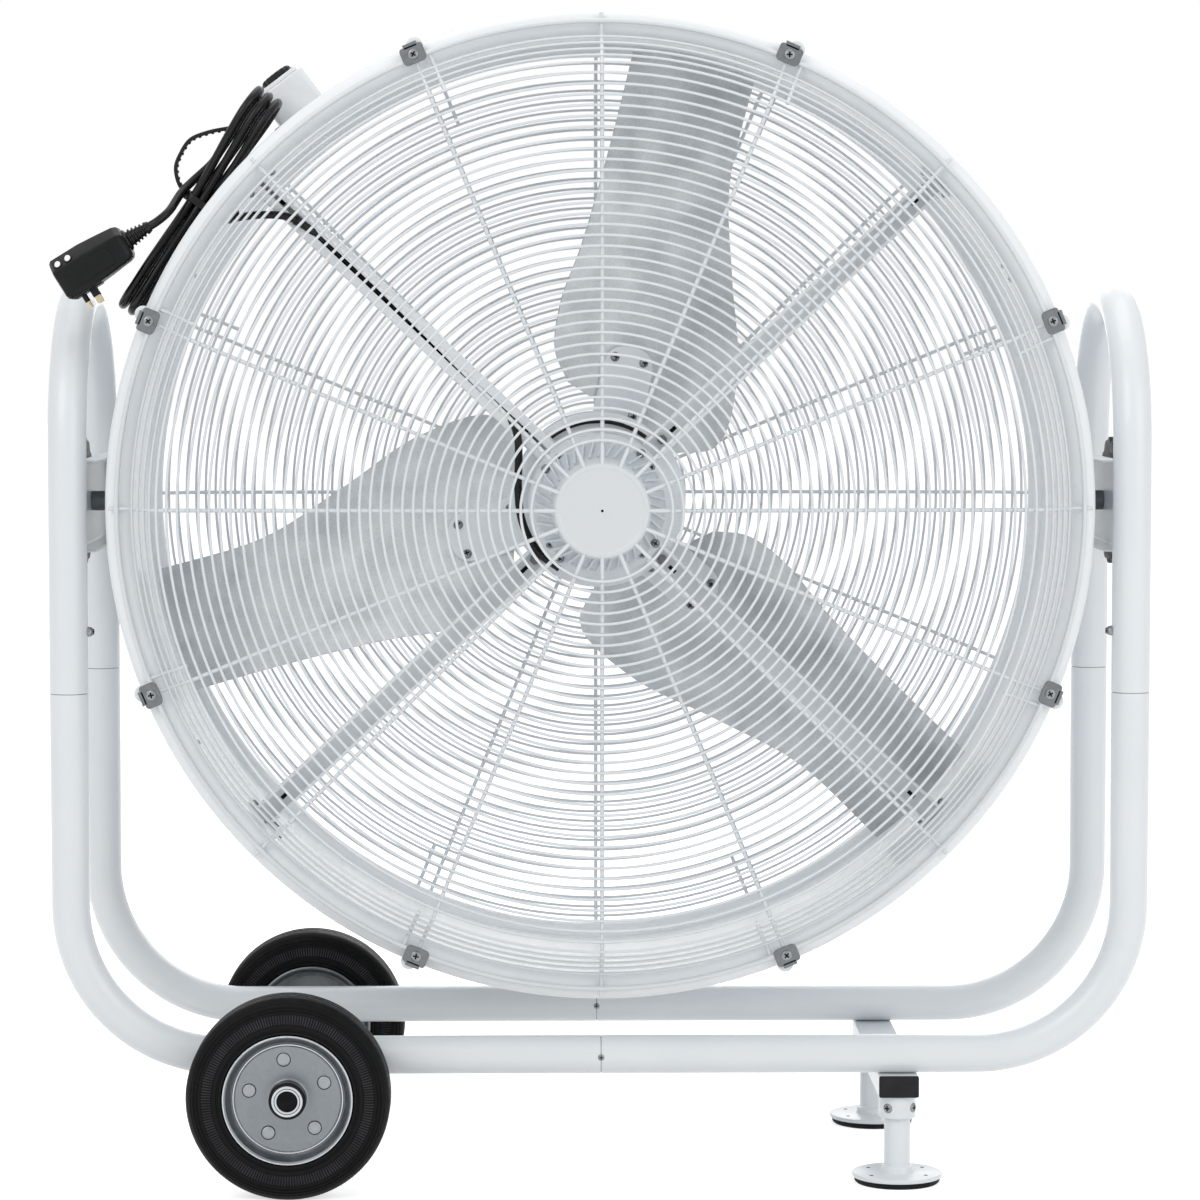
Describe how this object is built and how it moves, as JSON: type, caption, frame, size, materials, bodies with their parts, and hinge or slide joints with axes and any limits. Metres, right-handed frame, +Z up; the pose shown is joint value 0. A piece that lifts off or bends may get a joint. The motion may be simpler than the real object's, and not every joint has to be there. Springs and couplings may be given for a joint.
{
  "type": "drum fan",
  "caption": "Barrel fan with wire guards that tilts between two tube arches on a wheeled stand, with a three blade rotor, a speed switch and a tied power cord.",
  "frame": {"origin": "on the floor, below the middle of the barrel", "axes": "+Z up, +X to the right seen from the air outlet side, air blows toward -Y"},
  "size_m": [1.094, 0.483, 1.1603],
  "materials": {
    "white_powder_coat": "satin powder coat",
    "zinc_steel": "zinc plated",
    "blade_sheet": "satin rolled sheet",
    "tyre_rubber": "moulded",
    "black_rubber": "matte",
    "black_plastic": "moulded grain",
    "white_plastic": "moulded",
    "prong_brass": "plated"
  },
  "bodies": {
    "frame": {"corner_tube_front_left": "white_powder_coat", "corner_tube_rear_left": "white_powder_coat", "corner_tube_front_right": "white_powder_coat", "corner_tube_rear_right": "white_powder_coat", "arch_tube_left": "white_powder_coat", "arch_tube_right": "white_powder_coat", "pivot_channel_left": "white_powder_coat", "pivot_channel_right": "white_powder_coat", "wheel_axle": "zinc_steel", "foot_crossbar": "white_powder_coat", "crossbar_cap_front": "black_plastic", "crossbar_cap_rear": "black_plastic"},
    "drum": {"drum_shell": "white_powder_coat", "front_guard": "white_powder_coat", "rear_guard": "white_powder_coat", "guard_clip_1": "zinc_steel", "guard_clip_2": "zinc_steel", "guard_clip_3": "zinc_steel", "guard_clip_4": "zinc_steel", "guard_clip_5": "zinc_steel", "guard_clip_6": "zinc_steel", "guard_clip_7": "zinc_steel", "guard_clip_8": "zinc_steel", "motor_strut_upper_right": "white_powder_coat", "motor_strut_upper_left": "white_powder_coat", "motor_strut_lower_left": "white_powder_coat", "motor_strut_lower_right": "white_powder_coat", "motor_housing": "white_powder_coat", "motor_front_bell": "white_powder_coat", "motor_cable": "black_rubber", "pivot_stud_left": "zinc_steel", "pivot_stud_right": "zinc_steel", "switch_box": "white_plastic", "switch_lid": "white_plastic", "cord_gland": "black_plastic", "cord_lead": "black_rubber", "cord_hank": "black_rubber", "cord_tail": "black_rubber", "cord_tie": "black_plastic", "plug_relief": "black_rubber", "plug_body": "black_plastic", "plug_prongs": "prong_brass"},
    "rotor": {"motor_shaft": "zinc_steel", "hub_spider": "white_powder_coat", "fan_blade_1": "blade_sheet", "fan_blade_2": "blade_sheet", "fan_blade_3": "blade_sheet"},
    "speed_knob": {"speed_knob": "black_plastic"},
    "tilt_knob_left": {"tilt_knob_left": "black_plastic"},
    "tilt_knob_right": {"tilt_knob_right": "black_plastic"},
    "front_wheel": {"tyre_front": "tyre_rubber", "wheel_rim_front": "zinc_steel"},
    "rear_wheel": {"tyre_rear": "tyre_rubber", "wheel_rim_rear": "zinc_steel"},
    "front_foot": {"foot_leg_front": "white_powder_coat", "foot_pad_front": "black_rubber"},
    "rear_foot": {"foot_leg_rear": "white_powder_coat", "foot_pad_rear": "black_rubber"},
    "test_button": {"test_button": "white_plastic"},
    "reset_button": {"reset_button": "white_plastic"}
  },
  "joints": [
    {"name": "drum_tilt", "type": "hinge", "parent": "frame", "child": "drum", "pos_m": [0, 0, 0.675], "axis": [1, 0, 0], "range_deg": [-90, 90]},
    {"name": "rotor_spin", "type": "hinge", "parent": "drum", "child": "rotor", "pos_m": [0, 0, 0.675], "axis": [0, 1, 0], "continuous": true},
    {"name": "speed_knob_turn", "type": "hinge", "parent": "drum", "child": "speed_knob", "pos_m": [-0.3283, -0.028, 1.1075], "axis": [-0.6046, 0, 0.7965], "range_deg": [0, 120]},
    {"name": "tilt_knob_left_turn", "type": "hinge", "parent": "drum", "child": "tilt_knob_left", "pos_m": [-0.535, 0, 0.675], "axis": [-1, 0, 0], "range_deg": [0, 360]},
    {"name": "tilt_knob_right_turn", "type": "hinge", "parent": "drum", "child": "tilt_knob_right", "pos_m": [0.535, 0, 0.675], "axis": [1, 0, 0], "range_deg": [0, 360]},
    {"name": "front_wheel_spin", "type": "hinge", "parent": "frame", "child": "front_wheel", "pos_m": [-0.307, -0.211, 0.1], "axis": [0, 1, 0], "continuous": true},
    {"name": "rear_wheel_spin", "type": "hinge", "parent": "frame", "child": "rear_wheel", "pos_m": [-0.307, 0.211, 0.1], "axis": [0, 1, 0], "continuous": true},
    {"name": "front_foot_slide", "type": "slide", "parent": "frame", "child": "front_foot", "axis": [0, 0, 1], "range_m": [-0.008, 0.018]},
    {"name": "rear_foot_slide", "type": "slide", "parent": "frame", "child": "rear_foot", "axis": [0, 0, 1], "range_m": [-0.008, 0.018]},
    {"name": "test_button_press", "type": "slide", "parent": "drum", "child": "test_button", "axis": [0.5255, 0, -0.8508], "range_m": [0, 0.0015], "stiffness_N_per_m": 500, "springref_m": -0.002},
    {"name": "reset_button_press", "type": "slide", "parent": "drum", "child": "reset_button", "axis": [0.5255, 0, -0.8508], "range_m": [0, 0.0015], "stiffness_N_per_m": 500, "springref_m": -0.002}
  ]
}
